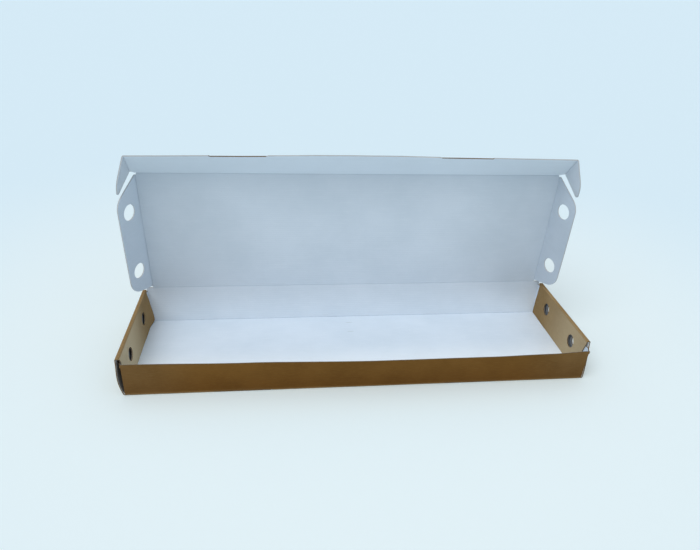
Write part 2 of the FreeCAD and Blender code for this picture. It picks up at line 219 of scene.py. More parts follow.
def end_sheet(side):
    """Outer end panel, roll and inner end panel, from the floor's edge."""

    def at(u, v):
        line = [
            Vector((290.0, HALF)),
            Vector((FOLD_X, HALF)),
            Vector((ROLL_OUT_X, ROLL_Z)),
            Vector((ROLL_IN_X, ROLL_Z)),
            Vector((INNER_X, INNER_Z)),
            Vector((INNER_X - 0.6, INNER_Z - 9.8)),
        ]
        p = folded(line, (1.0, 1.0, 1.0, 5.0), u - 290.0)
        share = min(max((u - FOLD_X) / OUTER_RUN, 0.0), 1.0)
        swell = math.sin(math.pi * share ** 0.75) ** 1.5
        if side < 0:
            swell *= 0.35 + 2.6 * ease((-55.0 - v) / 35.0)
        else:
            swell *= 0.35 + 0.7 * ease((-55.0 - v) / 35.0)
        if u > INNER_U:
            deep = math.sin(math.pi * min((u - INNER_U) / INNER_RUN, 1.0))
            swell = 0.5 * deep * noise.noise(Vector((u / 40, v / 45, 3.0 * side)))
        if side < 0 and u > INNER_U:
            loose = ease((u - INNER_U) / INNER_RUN) * ease((v - 66.5) / 21.0)
            return Vector((side * (p.x + swell - 3.8 * loose), v, p.y + 2.6 * loose))
        return Vector((side * (p.x + swell), v, p.y))

    return at


def dust_ear(side, end):
    """The ear at a wall's end, folded in between the end's two layers. a is out from the fold, b up."""

    def at(a, b):
        low = main_sheet(side * CORNER_X, end * FOLD_Y)
        high = main_sheet(side * CORNER_X, end * (FOLD_Y + 40.0))
        foot = main_sheet(side * CORNER_X, end * (FOLD_Y + 3.0))
        up = (high - foot).normalized()
        base = low + up * b
        p = folded([Vector((-10, 0)), Vector((0, 0)), Vector((0, 40))], (0.9,), a + 10)
        slope = DUST_EAR_SLOPE * b * ease((a - 0.5) / DUST_EAR_BEND)
        return Vector((side * (CORNER_X + p.x + slope), base.y - end * p.y, base.z))

    return at


def end_flap(side):
    """A flap at the lid's end. a is out from the lid's edge, b along the lid from its rear fold."""
    turn = END_TURN[side]

    def at(a, b):
        tip = Vector((60 * math.cos(turn), 60 * math.sin(turn)))
        p = folded([Vector((-60, 0)), Vector((0, 0)), tip], (1.1,), a + 60)
        curl = 0.0
        if a > 0:
            curl = END_CURL * (a / END_CURL_REACH) ** 2 * math.sin(math.pi * b / LID_DEPTH)
        out = Vector((side * (LID_HALF + p.x), 0, 0))
        return LID_FOLD + ALONG_LID * b + out + LID_INWARD * (p.y + curl)

    return at


def front_ear(side):
    """An ear of the front flap. a is out from its slanted fold, b along the fold."""
    bend = math.radians(flap_angle(EAR_BASE))
    along = ALONG_LID * math.cos(bend) + LID_INWARD * math.sin(bend)
    inward = LID_INWARD * math.cos(bend) - ALONG_LID * math.sin(bend)
    across = Vector((side, 0, 0))
    up = along * math.cos(EAR_SLANT) - across * math.sin(EAR_SLANT)
    out = across * math.cos(EAR_SLANT) + along * math.sin(EAR_SLANT)
    base = FLAP_FOLD + across * EAR_BASE + along * SHOULDER

    def at(a, b):
        tip = Vector((60 * math.cos(EAR_TURN[side]), 60 * math.sin(EAR_TURN[side])))
        p = folded([Vector((-60, 0)), Vector((0, 0)), tip], (1.0,), a + 60)
        return base + up * b + out * p.x + inward * p.y

    return at


def ear_chart(side, a, b):
    """Where a point of a front flap's ear lies on the blank."""
    u = EAR_BASE - b * math.sin(EAR_SLANT) + a * math.cos(EAR_SLANT)
    v = FLAP_V + SHOULDER + b * math.cos(EAR_SLANT) + a * math.sin(EAR_SLANT)
    return side * u, v


def fold_lines():
    """The scored lines on the blank: two ends and how deep the score is."""
    lines = [
        ((-299.0, -FOLD_Y), (299.0, -FOLD_Y), 0.6),
        ((-299.0, FOLD_Y), (299.0, FOLD_Y), 0.6),
        ((-288.0, LID_V), (288.0, LID_V), 0.8),
        ((-289.0, FLAP_V), (289.0, FLAP_V), 1.0),
    ]
    for side in SIDES:
        lines.append(((side * FOLD_X, -90.0), (side * FOLD_X, 89.0), 0.6))
        for u in (ROLL_U, INNER_U):
            lines.append(((side * u, -80.0), (side * u, 89.0), 0.45))
        rear = (side * LID_HALF, LID_V + END_REAR_START)
        lines.append((rear, (side * LID_HALF, FLAP_V - LID_EDGE_INSET), 0.8))
        lines.append((ear_chart(side, 0, 0), ear_chart(side, 0, EAR_RUN), 0.9))
    return lines


FOLDS = fold_lines()


def scored(u, v):
    """How near a point of the blank is to a scored line, from 0 to 1."""
    best = 0.0
    for (ax, ay), (bx, by), depth in FOLDS:
        dx = bx - ax
        dy = by - ay
        t = ((u - ax) * dx + (v - ay) * dy) / (dx * dx + dy * dy)
        t = min(max(t, 0.0), 1.0)
        gap = math.hypot(u - ax - t * dx, v - ay - t * dy)
        if gap < 3:
            best = max(best, depth * math.exp(-((gap / 0.75) ** 2)))
    return best


def warped(u, v):
    """The gentle unevenness of the board, in millimetres along its own normal."""
    level = 0.22 * (noise.noise(Vector((u / 70, v / 55, 0.4))) + 0.9)
    level += 0.10 * (noise.noise(Vector((u / 24, v / 20, 7.1))) + 0.9)
    if abs(v) < FOLD_Y:
        level *= ease((FOLD_Y - abs(v)) / 25.0)
    return level * ease((330.0 - abs(u)) / 30.0)


def fold_stations(places, spread=1.6, count=5):
    """Extra mesh lines on both sides of each fold."""
    out = []
    for place in places:
        out.append(place)
        for i in range(1, count + 1):
            out.append(place + spread * i / count)
            out.append(place - spread * i / count)
    return out


def even(low, high, step=STEP):
    """Mesh lines at whole steps between two places."""
    first = math.ceil(low / step)
    last = math.floor(high / step)
    return [i * step for i in range(first, last + 1)]


def split_edges(ring, lines_a, lines_b):
    """The outline with a point wherever it crosses a mesh line."""
    out = []
    for (a0, b0), (a1, b1) in zip(ring, ring[1:] + ring[:1]):
        shares = [0.0]
        if abs(a1 - a0) > 1e-6:
            shares += [(x - a0) / (a1 - a0) for x in lines_a]
        if abs(b1 - b0) > 1e-6:
            shares += [(y - b0) / (b1 - b0) for y in lines_b]
        length = math.hypot(a1 - a0, b1 - b0)
        shares = sorted(t for t in shares if 0 <= t < 1 - 0.05 / max(length, 0.06))
        kept = []
        for t in shares:
            if not kept or (t - kept[-1]) * length > 0.12:
                kept.append(t)
        out += [(a0 + (a1 - a0) * t, b0 + (b1 - b0) * t) for t in kept]
    return out


def inside(a, b, ring):
    """Whether a point lies within an outline."""
    hit = False
    for (a0, b0), (a1, b1) in zip(ring, ring[1:] + ring[:1]):
        if (b0 > b) != (b1 > b) and a < a0 + (a1 - a0) * (b - b0) / (b1 - b0):
            hit = not hit
    return hit


def edge_gap(a, b, ring):
    """How far a point is from an outline."""
    best = 1e9
    for (a0, b0), (a1, b1) in zip(ring, ring[1:] + ring[:1]):
        dx = a1 - a0
        dy = b1 - b0
        t = ((a - a0) * dx + (b - b0) * dy) / max(dx * dx + dy * dy, 1e-9)
        t = min(max(t, 0.0), 1.0)
        best = min(best, math.hypot(a - a0 - t * dx, b - b0 - t * dy))
    return best


def circle(a, b, radius, count=40):
    turn = 2 * math.pi / count
    return [(a + radius * math.cos(i * turn), b + radius * math.sin(i * turn)) for i in range(count)]


def rounded(ring, radii, count=8):
    """An outline with some corners rounded: radii gives corner number and radius."""
    out = []
    total = len(ring)
    for i, corner in enumerate(ring):
        if i not in radii:
            out.append(corner)
            continue
        p = Vector(corner)
        to_last = (Vector(ring[i - 1]) - p).normalized()
        to_next = (Vector(ring[(i + 1) % total]) - p).normalized()
        half = to_last.angle(to_next) / 2
        reach = radii[i] / math.tan(half)
        middle = p + (to_last + to_next).normalized() * (radii[i] / math.sin(half))
        start = p + to_last * reach - middle
        swing = start.angle_signed(p + to_next * reach - middle)
        for k in range(count + 1):
            turn = -swing * k / count
            x = start.x * math.cos(turn) - start.y * math.sin(turn)
            y = start.x * math.sin(turn) + start.y * math.cos(turn)
            out.append((middle.x + x, middle.y + y))
    return out


def cut_board(outline, holes, lines_a, lines_b, fold, chart):
    """One panel cut from the blank and folded: its points, faces and what each carries."""
    area = sum(p[0] * q[1] - q[0] * p[1] for p, q in zip(outline, outline[1:] + outline[:1]))
    if area < 0:
        outline = outline[::-1]
    ring = split_edges(outline, lines_a, lines_b)
    rings = [ring] + [h[::-1] for h in holes]
    flat = []
    edges = []
    for loop in rings:
        first = len(flat)
        flat += loop
        edges += [(first + i, first + (i + 1) % len(loop)) for i in range(len(loop))]
    for a in lines_a:
        for b in lines_b:
            if not inside(a, b, ring) or edge_gap(a, b, ring) < 0.25:
                continue
            if all(not inside(a, b, h) and edge_gap(a, b, h) > 0.8 for h in rings[1:]):
                flat.append((a, b))
    made = geometry.delaunay_2d_cdt([Vector(p) for p in flat], edges, [], 0, 1e-5)
    points = [(p.x, p.y) for p in made[0]]
    faces = []
    for tri in made[2]:
        a = sum(points[i][0] for i in tri) / 3
        b = sum(points[i][1] for i in tri) / 3
        if inside(a, b, ring) and all(not inside(a, b, h) for h in rings[1:]):
            faces.append(list(tri))
    counts = {}
    for tri in faces:
        for i, j in zip(tri, tri[1:] + tri[:1]):
            counts[(i, j)] = counts.get((i, j), 0) + 1
    rim = [edge for edge in counts if (edge[1], edge[0]) not in counts]
    small = 0.03
    places = []
    normals = []
    charts = []
    for a, b in points:
        p = fold(a, b)
        u, v = chart(a, b)
        to_a = fold(a + small, b) - fold(a - small, b)
        to_b = fold(a, b + small) - fold(a, b - small)
        turned = chart(a + small, b)[0] < chart(a - small, b)[0]
        flipped = chart(a, b + small)[1] < chart(a, b - small)[1]
        normal = to_a.cross(to_b).normalized()
        if turned != flipped:
            normal = -normal
        places.append(p + normal * warped(u, v))
        normals.append(normal)
        charts.append((u, v, scored(u, v)))
    a, b = points[0]
    mirror = (chart(a + 1, b)[0] < chart(a, b)[0]) != (chart(a, b + 1)[1] < chart(a, b)[1])
    return places, normals, charts, faces, rim, mirror


def build(name, parts):
    """One mesh from cut panels: white liner inside, kraft outside and the cut edge between."""
    verts = []
    faces = []
    slots = []
    flat = []
    ply = []
    for places, normals, charts, tris, rim, mirror in parts:
        first = len(verts)
        count = len(places)
        for sign in (1, -1):
            for p, n, (u, v, crease) in zip(places, normals, charts):
                deep = HALF - (0.28 if sign > 0 else 0.12) * crease
                verts.append((p + n * (sign * deep)) * 0.001)
                flat.append((u * 0.001, v * 0.001))
                ply.append((sign, crease))
        for tri in tris:
            up = tri[::-1] if mirror else tri
            faces.append([first + i for i in up])
            slots.append(0)
            faces.append([first + count + i for i in up[::-1]])
            slots.append(1)
        for i, j in rim:
            side = [first + i, first + count + i, first + count + j, first + j]
            faces.append(side[::-1] if mirror else side)
            slots.append(2)
    mesh = bpy.data.meshes.new(name)
    mesh.from_pydata(verts, [], faces)
    blank = mesh.uv_layers.new(name="blank")
    layer = mesh.uv_layers.new(name="ply")
    for loop in mesh.loops:
        blank.data[loop.index].uv = flat[loop.vertex_index]
        layer.data[loop.index].uv = ply[loop.vertex_index]
    for material in (WHITE, KRAFT, EDGE):
        mesh.materials.append(material)
    mesh.polygons.foreach_set("material_index", slots)
    mesh.polygons.foreach_set("use_smooth", [True] * len(slots))
    mesh.set_sharp_from_angle(angle=math.radians(50))
    mesh.validate()
    mesh.update()
    piece = bpy.data.objects.new(name, mesh)
    bpy.context.scene.collection.objects.link(piece)
    return piece


# Materials


def material(name):
    made = bpy.data.materials.new(name)
    made.use_nodes = True
    tree = made.node_tree
    tree.nodes.clear()
    return made, tree


def put(tree, kind, inputs=None, **settings):
    """A node with its settings, and its inputs set from values or linked from sockets."""
    made = tree.nodes.new(kind)
    for key, value in settings.items():
        setattr(made, key, value)
    for key, value in (inputs or {}).items():
        if isinstance(value, bpy.types.NodeSocket):
            tree.links.new(value, made.inputs[key])
        else:
            made.inputs[key].default_value = value
    return made


def math_node(tree, operation, a, b=0.0, clamp=False):
    return put(tree, "ShaderNodeMath", {0: a, 1: b}, operation=operation, use_clamp=clamp).outputs[0]


def times(tree, a, b):
    return math_node(tree, "MULTIPLY", a, b)


def mix(tree, share, a, b, blend="MIX"):
    made = put(tree, "ShaderNodeMix", {0: share, 6: a, 7: b}, data_type="RGBA", blend_type=blend)
    return made.outputs[2]


def coords(tree):
    """The point on the blank in millimetres, its U and V, the place across the board and the score."""
    uv = put(tree, "ShaderNodeUVMap", uv_map="blank").outputs[0]
    scale = put(tree, "ShaderNodeVectorMath", {0: uv, 1: (1000, 1000, 1000)}, operation="MULTIPLY")
    apart = put(tree, "ShaderNodeSeparateXYZ", {0: scale.outputs[0]})
    ply = put(tree, "ShaderNodeUVMap", uv_map="ply").outputs[0]
    layers = put(tree, "ShaderNodeSeparateXYZ", {0: ply})
    return scale.outputs[0], apart.outputs[0], apart.outputs[1], layers.outputs[0], layers.outputs[1]


def grain(tree, point, scale, detail=3.0, rough=0.55, stretch=None):
    """Noise with its size in repeats a millimetre."""
    if stretch:
        point = put(tree, "ShaderNodeVectorMath", {0: point, 1: stretch}, operation="MULTIPLY").outputs[0]
    inputs = {"Vector": point, "Scale": scale, "Detail": detail, "Roughness": rough}
    return put(tree, "ShaderNodeTexNoise", inputs).outputs[0]


def band(tree, value, low, high, to_low=0.0, to_high=1.0):
    """A smooth step from one level to another while a value goes from low to high."""
    names = {0: value, 1: low, 2: high, 3: to_low, 4: to_high}
    return put(tree, "ShaderNodeMapRange", names, interpolation_type="SMOOTHSTEP").outputs[0]


def flutes(tree, v):
    """The washboard of the flutes under the liner, along the box."""
    return math_node(tree, "SINE", times(tree, v, 2 * math.pi / FLUTE_PITCH))


def spot(tree, u, v, at_u, at_v, half_u, half_v):
    """A soft oval mark on the blank."""
    du = math_node(tree, "DIVIDE", math_node(tree, "SUBTRACT", u, at_u), half_u)
    dv = math_node(tree, "DIVIDE", math_node(tree, "SUBTRACT", v, at_v), half_v)
    square = math_node(tree, "ADD", times(tree, du, du), times(tree, dv, dv))
    return band(tree, square, 0.5, 1.4, 1.0, 0.0)


def finish_shader(tree, colour, rough, height, specular, bump_mm=0.001):
    bump = put(tree, "ShaderNodeBump", {"Strength": 1.0, "Distance": bump_mm, "Height": height})
    inputs = {
        "Base Color": colour,
        "Roughness": rough,
        "Normal": bump.outputs[0],
        "Specular IOR Level": specular,
    }
    shader = put(tree, "ShaderNodeBsdfPrincipled", inputs)
    put(tree, "ShaderNodeOutputMaterial", {0: shader.outputs[0]})


def white_liner():
    made, tree = material("white_liner")
    point, u, v, _, crease = coords(tree)
    cloud = grain(tree, point, 0.011, 4.0, 0.6)
    fine = grain(tree, point, 0.9, 4.0, 0.7)
    streak = grain(tree, point, 0.28, 3.0, 0.6, (0.12, 1.0, 1.0))
    colour = mix(tree, band(tree, cloud, 0.3, 0.7), (0.66, 0.745, 0.83, 1), (0.72, 0.80, 0.885, 1))
    colour = mix(tree, band(tree, fine, 0.42, 0.75, 0.0, 0.35), colour, (0.60, 0.68, 0.76, 1))
    colour = mix(tree, band(tree, streak, 0.45, 0.8, 0.0, 0.22), colour, (0.80, 0.87, 0.94, 1))
    # Painted shade: the lid is a little darker, most of all towards its ends and its front fold.
    along = math_node(tree, "ABSOLUTE", u)
    lid = band(tree, v, FOLD_Y + 8.0, LID_V + 10.0)
    ends = times(tree, lid, band(tree, along, 90.0, 285.0, 0.0, 0.75))
    top = times(tree, band(tree, v, LID_V + 90.0, FLAP_V), band(tree, v, FLAP_V + 2.0, FLAP_V, 0.0, 0.4))
    colour = mix(tree, lid, colour, (0.92, 0.925, 0.93, 1), "MULTIPLY")
    shade = math_node(tree, "MAXIMUM", ends, top)
    colour = mix(tree, shade, colour, (0.77, 0.775, 0.78, 1), "MULTIPLY")
    # Painted light and shade: the left end flap is lightened, the right one darkened a little, and the
    # front flap's ears are darkened.
    flaps = times(tree, band(tree, along, 291.0, 296.0), band(tree, v, LID_V, LID_V + 4.0))
    ears = band(tree, v, FLAP_V - 1.0, FLAP_V + 1.0)
    flap_light_and_shade = mix(tree, band(tree, u, -1.0, 1.0), (1.14, 1.14, 1.14, 1), (0.96, 0.96, 0.96, 1))
    flap_light_and_shade = mix(tree, ears, flap_light_and_shade, (0.80, 0.77, 0.765, 1))
    colour = mix(tree, flaps, colour, flap_light_and_shade, "MULTIPLY")
    # Painted light: the floor is paler towards the front wall.
    near = times(tree, band(tree, v, 20.0, -85.0), band(tree, v, -93.0, -90.0))
    colour = mix(tree, times(tree, near, 0.9), colour, (0.95, 0.985, 1.0, 1))
    # Flutes show through, with a few specks and two handling marks on the floor.
    wave = flutes(tree, v)
    ridge = times(tree, band(tree, wave, -1.0, 0.2, 1.0, 0.0), 0.10)
    colour = mix(tree, ridge, colour, (0.50, 0.58, 0.67, 1))
    specks = put(tree, "ShaderNodeTexVoronoi", {"Vector": point, "Scale": 0.12}).outputs[0]
    sparse = times(tree, band(tree, specks, 0.035, 0.06, 1.0, 0.0), band(tree, cloud, 0.45, 0.6))
    colour = mix(tree, times(tree, sparse, 0.35), colour, (0.42, 0.40, 0.36, 1))
    for at_u, at_v in ((-3.5, 70.0), (-3.5, 44.0)):
        mark = times(tree, spot(tree, u, v, at_u, at_v, 5.2, 0.9), 0.4)
        colour = mix(tree, mark, colour, (0.36, 0.42, 0.40, 1))
    # Painted light: the front flap's inner face is lighter than the lid.
    colour = mix(tree, band(tree, v, FLAP_V - 0.5, FLAP_V + 2.0, 0.0, 0.5), colour, (0.80, 0.87, 0.93, 1))
    # Painted shade along the scored lines.
    colour = mix(tree, times(tree, crease, 0.42), colour, (0.36, 0.43, 0.52, 1))
    # Little light gets in between the two layers of an end, save at the right front corner.
    hidden = times(tree, band(tree, along, 302.0, 305.0), band(tree, v, 92.0, 90.5))
    hidden = times(tree, hidden, band(tree, v, -92.0, -90.5))
    open_corner = times(tree, band(tree, u, 0.0, 1.0), band(tree, v, -76.0, -80.0))
    hidden = times(tree, hidden, math_node(tree, "SUBTRACT", 1.0, open_corner))
    colour = mix(tree, times(tree, hidden, 0.8), colour, (0.05, 0.05, 0.055, 1))
    height = times(tree, wave, 0.014)
    height = math_node(tree, "ADD", height, times(tree, fine, 0.022))
    height = math_node(tree, "ADD", height, times(tree, cloud, 0.8))
    rough = band(tree, fine, 0.3, 0.7, 0.5, 0.68)
    finish_shader(tree, colour, rough, height, 0.35)
    return made


def kraft_liner():
    made, tree = material("kraft_liner")
    point, u, v, _, crease = coords(tree)
    cloud = grain(tree, point, 0.018, 4.0, 0.6)
    fine = grain(tree, point, 1.1, 5.0, 0.75)
    fibre = grain(tree, point, 0.7, 4.0, 0.7, (0.16, 1.0, 1.0))
    flecks = grain(tree, point, 2.2, 2.0, 0.6, (0.35, 1.0, 1.0))
    colour = mix(tree, band(tree, cloud, 0.3, 0.7), (0.255, 0.160, 0.066, 1), (0.315, 0.205, 0.092, 1))
    colour = mix(tree, band(tree, fibre, 0.45, 0.72, 0.0, 0.45), colour, (0.38, 0.27, 0.14, 1))
    colour = mix(tree, band(tree, fine, 0.5, 0.8, 0.0, 0.6), colour, (0.155, 0.090, 0.036, 1))
    colour = mix(tree, band(tree, flecks, 0.66, 0.78, 0.0, 0.5), colour, (0.46, 0.37, 0.24, 1))
    along = math_node(tree, "ABSOLUTE", u)
    # Painted shade: the front wall is darker and redder, most of all at its foot.
    front = times(tree, band(tree, v, -89.0, -94.0), band(tree, along, 301.0, 299.0))
    front_wall_shade = mix(tree, band(tree, along, 190.0, 290.0), (0.56, 0.41, 0.20, 1), (0.57, 0.49, 0.38, 1))
    colour = mix(tree, front, colour, front_wall_shade, "MULTIPLY")
    low = times(tree, front, band(tree, v, -130.0, -94.0, 0.0, 0.5))
    colour = mix(tree, low, colour, (0.68, 0.56, 0.42, 1), "MULTIPLY")
    # Painted light: the rolled-in end panels are paler, most of all the left one.
    inner = times(tree, band(tree, along, INNER_U, INNER_U + 2.0), band(tree, v, 70.0, -50.0))
    share = band(tree, u, -1.0, 1.0, 0.85, 0.5)
    colour = mix(tree, times(tree, inner, share), colour, (0.64, 0.53, 0.35, 1))
    wave = flutes(tree, v)
    ridge = times(tree, band(tree, wave, -1.0, 0.2, 1.0, 0.0), 0.12)
    colour = mix(tree, ridge, colour, (0.12, 0.075, 0.032, 1))
    worn = times(tree, crease, band(tree, fibre, 0.35, 0.65, 0.15, 0.6))
    colour = mix(tree, worn, colour, (0.47, 0.36, 0.22, 1))
    height = times(tree, wave, 0.018)
    height = math_node(tree, "ADD", height, times(tree, fine, 0.05))
    height = math_node(tree, "ADD", height, times(tree, cloud, 0.6))
    rough = band(tree, fine, 0.3, 0.7, 0.72, 0.88)
    finish_shader(tree, colour, rough, height, 0.06)
    return made


def cut_edge():
    """The cut edge shows both liners and the fluted paper between them."""
    made, tree = material("cut_edge")
    point, u, v, across, _ = coords(tree)
    fine = grain(tree, point, 2.5, 3.0, 0.7)
    line = times(tree, flutes(tree, v), 0.62)
    gap = math_node(tree, "ABSOLUTE", math_node(tree, "SUBTRACT", across, line))
    medium = band(tree, gap, 0.20, 0.34, 1.0, 0.0)
    colour = mix(tree, medium, (0.050, 0.030, 0.014, 1), (0.27, 0.175, 0.085, 1))
    kraft_ply = band(tree, across, -0.72, -0.80)
    colour = mix(tree, kraft_ply, colour, (0.30, 0.195, 0.09, 1))
    white_ply = band(tree, across, 0.74, 0.82)
    colour = mix(tree, white_ply, colour, (0.56, 0.56, 0.54, 1))
    colour = mix(tree, band(tree, fine, 0.45, 0.75, 0.0, 0.4), colour, (0.40, 0.29, 0.17, 1))
    # The lid's cut edges look pale, save in the front flap's two notches.
    notch = times(tree, band(tree, u, -192.0, -190.5), band(tree, u, -119.0, -121.0))
    other = times(tree, band(tree, u, 106.5, 108.0), band(tree, u, 178.0, 176.5))
    notch = math_node(tree, "MAXIMUM", notch, other)
    notch = times(tree, notch, band(tree, v, FLAP_V + 40.0, FLAP_V + 41.0))
    plain_edge = math_node(tree, "SUBTRACT", 1.0, notch)
    pale = times(tree, band(tree, v, LID_V - 4.0, LID_V + 3.0), plain_edge)
    colour = mix(tree, times(tree, pale, 0.78), colour, (0.62, 0.66, 0.69, 1))
    solid = math_node(tree, "MAXIMUM", math_node(tree, "MAXIMUM", medium, kraft_ply), white_ply)
    height = times(tree, solid, 0.25)
    finish_shader(tree, colour, 0.85, height, 0.15)
    return made


WHITE = white_liner()
KRAFT = kraft_liner()
EDGE = cut_edge()


# Panels


def plain(u, v):
    """The chart of the main sheet, which is itself the blank."""
    return u, v


def both_sides(right):
    """An outline from its right half, mirrored to the left."""
    return right + [(-u, v) for u, v in reversed(right)]


def tray_outline():
    """Floor, front wall and back wall on the blank."""
    return both_sides(
        [
            (WALL_EDGE, FRONT_TOP),
            (WALL_EDGE, -FOLD_Y - 42.0),
            (WALL_JOIN, -FOLD_Y - 42.0),
            (WALL_JOIN, -FOLD_Y - 1.2),
            (FLOOR_EDGE, -FOLD_Y - 0.6),
            (FLOOR_EDGE, FOLD_Y + 0.6),
            (WALL_JOIN, FOLD_Y + 1.2),
            (WALL_JOIN, FOLD_Y + 49.0),
            (WALL_EDGE, FOLD_Y + 49.0),
            (WALL_EDGE, LID_V),
            (LID_JOIN_HALF, LID_V),
            (LID_JOIN_HALF, LID_V - JOIN),
        ]
    )


def box_ring(u0, u1, v0, v1):
    return [(u0, v0), (u1, v0), (u1, v1), (u0, v1)]


def tab_slots():
    """The floor's slots that take the end panels' lock tabs."""
    slots = []
    for side in SIDES:
        middle = side * SLOT_X
        for v in TABS_V:
            slots.append(
                box_ring(middle - SLOT_HALF, middle + SLOT_HALF, v - SLOT_HALF_LENGTH, v + SLOT_HALF_LENGTH)
            )
    return slots


def front_slits():
    """The two slits cut on the bottom front fold."""
    return [box_ring(start, end, SLIT_LOW, SLIT_HIGH) for start, end in SLITS_U]


def end_outline(side):
    """Outer end panel, roll and inner end panel with its two lock tabs."""
    setback = ROLL_SETBACK[side]
    top = -(TRAY_EDGE_Y - setback)
    inner = -(TRAY_EDGE_Y - max(INNER_SETBACK, setback))
    low = inner + INNER_RUN * math.tan(INNER_FRONT_TAPER)
    ring = [(FLOOR_EDGE, -90.0), (FOLD_X, -90.0), (ROLL_U - 3.0, top), (INNER_U, top)]
    if top < inner:
        ring.append((INNER_U + 1.0, top + 1.0))
    ring += [(INNER_U + 2.5, inner), (LOW_U, low)]
    for v in TABS_V:
        tip = LOW_U + TAB_REACH
        ring += [(LOW_U, v - TAB_HALF), (tip, v - TAB_HALF + 1.0)]
        ring += [(tip, v + TAB_HALF - 1.0), (LOW_U, v + TAB_HALF)]
    ring += [(LOW_U, INNER_LOW_BACK), (INNER_U, INNER_BACK), (INNER_U - 1.0, END_BACK)]
    ring += [(FOLD_X, END_BACK), (FLOOR_EDGE, END_BACK)]
    return ring


def dust_ear_outline(high, drop):
    near = WALL_JOIN - CORNER_X
    foot = 1.2
    ring = [(near, foot), (2.0, foot), (DUST_EAR_REACH, foot)]
    return ring + [(DUST_EAR_REACH, high - drop), (DUST_EAR_FLAT, high), (near, high)]


def tray_parts():
    across = even(-300, 300)
    deep = even(FRONT_TOP, LID_V) + fold_stations((-FOLD_Y, FOLD_Y)) + [LID_V - JOIN - 1.5]
    holes = tab_slots() + front_slits()
    parts = [cut_board(tray_outline(), holes, across, deep, main_sheet, plain)]
    for side in SIDES:
        holes = []
        for v in WALL_VENTS_V:
            holes.append(circle(FOLD_X + OUTER_VENT_UP, v - OUTER_VENT_SHIFT, WALL_VENT_RADIUS))
            holes.append(circle(INNER_U + INNER_VENT_DOWN, v, WALL_VENT_RADIUS))
        outward = even(FLOOR_EDGE, LOW_U, 5.0) + fold_stations((FOLD_X,))
        outward += fold_stations((ROLL_U, INNER_U), 1.8, 4)
        chart = lambda u, v, side=side: (side * u, v)
        parts.append(cut_board(end_outline(side), holes, outward, even(-90, 90), end_sheet(side), chart))
        for end, high, drop in DUST_EARS:
            ring = dust_ear_outline(high, drop)
            lines = fold_stations((0.0,), 1.2, 4) + even(3, 28, 5.0)
            chart = lambda a, b, side=side, end=end: (side * (CORNER_X + a), end * (FOLD_Y + b))
            parts.append(cut_board(ring, [], lines, even(2, high, 6.0), dust_ear(side, end), chart))
    return parts


def lid_outline():
    return both_sides(
        [
            (LID_JOIN_HALF, LID_V + JOIN),
            (LID_JOIN_HALF, LID_V + 1.4),
            (290.5, LID_V + 1.45),
            (LID_HALF, LID_V + 2.0),
            (LID_HALF, LID_V + END_REAR_START),
            (LID_HALF - JOIN, LID_V + END_REAR_START),
            (LID_HALF - JOIN, FLAP_V - LID_EDGE_INSET),
            (LID_HALF - 1.6, FLAP_V - LID_EDGE_INSET),
            (LID_HALF - 2.3, FLAP_V - 1.6),
            (289.0, FLAP_V - 0.9),
            (FLAP_JOIN_HALF, FLAP_V - JOIN),
        ]
    )


def flap_outline():
    """The front flap: its free edge stands higher between two shallow notches."""
    right = [
        (FLAP_JOIN_HALF, FLAP_V + JOIN),
        (289.4, FLAP_V + 1.2),
        (290.8, FLAP_V + 1.4),
        (292.2, FLAP_V + 2.8),
        (294.2, FLAP_V + SHOULDER),
        ear_chart(1, -JOIN, 0.6),
        ear_chart(1, -JOIN, EAR_RUN),
    ]
    tip_v = FLAP_V + FLAP_REACH
    notched = tip_v - FLAP_NOTCH
    (left_start, left_end), (right_start, right_end) = SLITS_U
    edge = [
        (right_end, tip_v),
        (175.9, notched),
        (right_start, notched),
        (104.0, tip_v + 0.1),
        (54.0, tip_v + 1.5),
        (0.0, tip_v + FLAP_CROWN),
        (-60.0, tip_v + 1.5),
        (-117.0, tip_v + 0.1),
        (left_end, notched),
        (-189.4, notched),
        (left_start, tip_v),
    ]
    return right + edge + [(-u, v) for u, v in reversed(right)]


def end_flap_outline(side):
    """An end flap from beyond its fold: slanted rear and front edges with round corners."""
    front = END_FRONT_SLOPE[side]
    ring = [
        (JOIN, END_REAR_START + JOIN * END_REAR_SLOPE),
        (END_REACH, END_REAR_START + END_REACH * END_REAR_SLOPE),
        (END_REACH, LID_DEPTH - 0.5 - END_REACH * front),
        (JOIN, LID_DEPTH - 1.5 - JOIN * front),
    ]
    return rounded(ring, {1: END_REAR_RADIUS, 2: END_FRONT_RADIUS}, 12)


def ear_outline(side):
    reach = EAR_REACH[side]
    ring = [(JOIN, 0.6), (reach, 0.75), (reach - 8.7, 23.0), (JOIN, EAR_RUN)]
    return rounded(ring, {1: 4.0, 2: 40.0}, 10)


def lid_end_chart(side):
    """From a place on an end flap to the blank."""
    return lambda a, b: (side * (LID_HALF + a), LID_V + b)


def lid_lines():
    """Mesh lines across an end flap, in step with the lid's."""
    return [v - LID_V for v in even(LID_V, FLAP_V)]


def moving_panels():
    across = even(-300, 300)
    pieces = {}
    part = cut_board(lid_outline(), [], across, even(LID_V, FLAP_V), main_sheet, plain)
    pieces["lid"] = build("lid_board", [part])
    part = cut_board(flap_outline(), [], across, even(FLAP_V, FLAP_V + 52), main_sheet, plain)
    pieces["front_flap"] = build("front_flap_board", [part])
    for side, word in SIDES.items():
        holes = [circle(FLAP_VENT_OUT, v, FLAP_VENT_RADIUS) for v in FLAP_VENTS]
        outward = even(JOIN, 45, 5.0)
        chart = lid_end_chart(side)
        part = cut_board(end_flap_outline(side), holes, outward, lid_lines(), end_flap(side), chart)
        pieces["end_flap_" + word] = build("end_flap_board_" + word, [part])
        chart = lambda a, b, side=side: ear_chart(side, a, b)
        outward = even(JOIN, 40, 5.0)
        part = cut_board(ear_outline(side), [], outward, even(0, EAR_RUN, 5.0), front_ear(side), chart)
        pieces["front_ear_" + word] = build("front_ear_board_" + word, [part])
    return pieces


